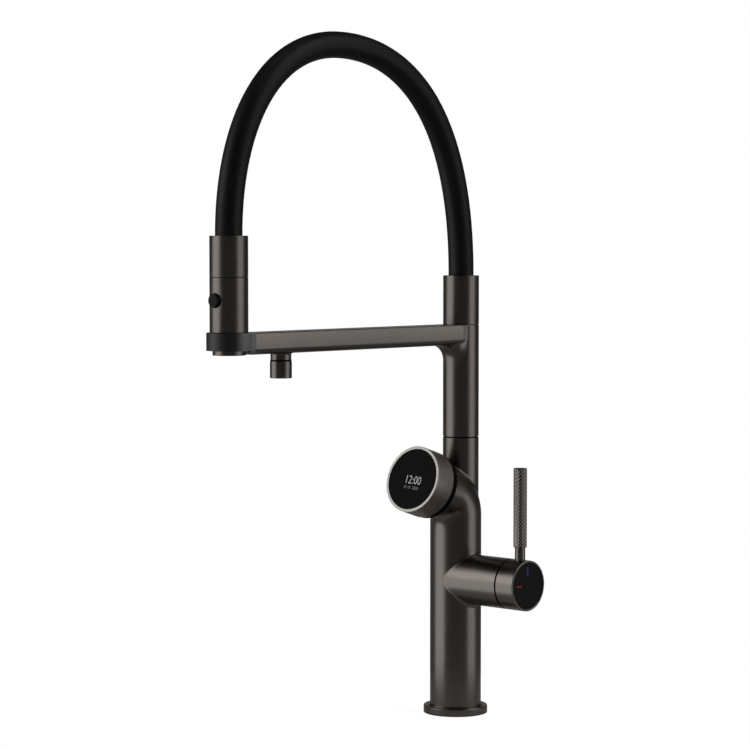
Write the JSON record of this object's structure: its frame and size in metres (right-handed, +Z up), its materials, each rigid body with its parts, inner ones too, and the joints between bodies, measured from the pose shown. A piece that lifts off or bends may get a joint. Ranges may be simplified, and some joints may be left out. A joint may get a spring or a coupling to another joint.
{
  "type": "kitchen mixer tap",
  "caption": "Tall kitchen mixer tap: round column with an angled round display and a side lever, and a turning arm that holds a pull-out spray on a sprung hose arch.",
  "frame": {"origin": "centre of the base flange's underside, on the worktop and on the lower column's axis", "axes": "+Z up along the column, -Y towards the arm, the spray and the display, +X towards the handle"},
  "size_m": [0.0998, 0.2859, 0.5251],
  "materials": {
    "gunmetal": "brushed, with a dark gunmetal coating",
    "knurled_gunmetal": "finely knurled, with a dark gunmetal coating",
    "polished_metal": "polished",
    "black_plastic": "satin black",
    "white_tube": "smooth",
    "black_glass": "glossy, backed in black",
    "display": "display panel",
    "rubber": "matte",
    "hose_sleeve": "smooth, matte black",
    "brass": "turned",
    "steel": "plain",
    "ceramic": "lapped",
    "circuit_board": "coated"
  },
  "bodies": {
    "root": {"base_flange": "gunmetal", "base_gasket": "rubber", "base_insert": "brass", "main_body": "gunmetal", "supply_tubes": "brass", "mixed_tube": "brass", "filtered_feed_tube": "white_tube", "valve_manifold": "brass", "cartridge_body": "steel", "cartridge_seal": "rubber", "ceramic_disc_fixed": "ceramic", "cartridge_nut": "brass", "handle_gap_ring": "black_plastic", "display_cable": "rubber", "dial_spindle": "steel", "dial_gap_ring": "black_plastic", "dial_bush": "black_plastic", "display_housing": "black_plastic", "display_board": "circuit_board", "display_panel": "display", "display_glass": "black_glass", "swivel_spigot": "brass", "swivel_washer": "black_plastic", "swivel_bushes": "black_plastic", "swivel_seals": "rubber", "swivel_snap_ring": "steel"},
    "handle": {"ceramic_disc_turning": "ceramic", "cartridge_stem": "brass", "handle_cap": "gunmetal", "handle_face": "black_glass", "handle_grub_screw": "steel", "lever_rod": "gunmetal", "lever_grip": "knurled_gunmetal"},
    "dial": {"dial_sleeve": "gunmetal", "dial_rim": "polished_metal", "dial_encoder_ring": "steel"},
    "swivel": {"swivel_distributor": "brass", "swivel_arm": "gunmetal", "mixed_riser": "brass", "filtered_tube": "white_tube", "dock_block": "black_plastic", "dock_magnet": "steel", "outlet_neck": "gunmetal", "outlet_body": "gunmetal", "outlet_seal": "rubber", "outlet_aerator": "black_plastic", "hose_collar": "gunmetal", "column_hose_fitting": "steel", "hose": "hose_sleeve", "hose_spring": "steel", "hose_inner_tube": "white_tube"},
    "spray_sleeve": {"spray_hose_fitting": "steel", "spray_collar": "gunmetal"},
    "spray_head": {"spray_body": "gunmetal", "spray_insert": "black_plastic", "spray_face": "rubber", "spray_magnet": "steel", "button_spring": "steel"},
    "button": {"spray_button": "black_plastic", "diverter_spindle": "brass"}
  },
  "joints": [
    {"name": "column_swivel", "type": "hinge", "parent": "root", "child": "swivel", "pos_m": [0, 0.00585, 0.2161], "axis": [0, 0, 1], "continuous": true},
    {"name": "handle_turn", "type": "hinge", "parent": "root", "child": "handle", "pos_m": [0.0655, 0, 0.106], "axis": [1, 0, 0], "range_deg": [0, 90]},
    {"name": "dial_turn", "type": "hinge", "parent": "root", "child": "dial", "pos_m": [0, -0.05065, 0.18691], "axis": [0, -0.9511, 0.309], "continuous": true},
    {"name": "spray_lift", "type": "slide", "parent": "swivel", "child": "spray_sleeve", "axis": [0, 0, 1], "range_m": [0, 0.03], "deforming": ["hose", "hose_spring", "hose_inner_tube"]},
    {"name": "spray_turn", "type": "hinge", "parent": "spray_sleeve", "child": "spray_head", "pos_m": [0, -0.2446, 0.3442], "axis": [0, 0, 1], "continuous": true},
    {"name": "button_press", "type": "slide", "parent": "spray_head", "child": "button", "axis": [0, 1, 0], "range_m": [0, 0.002], "stiffness_N_per_m": 400}
  ]
}
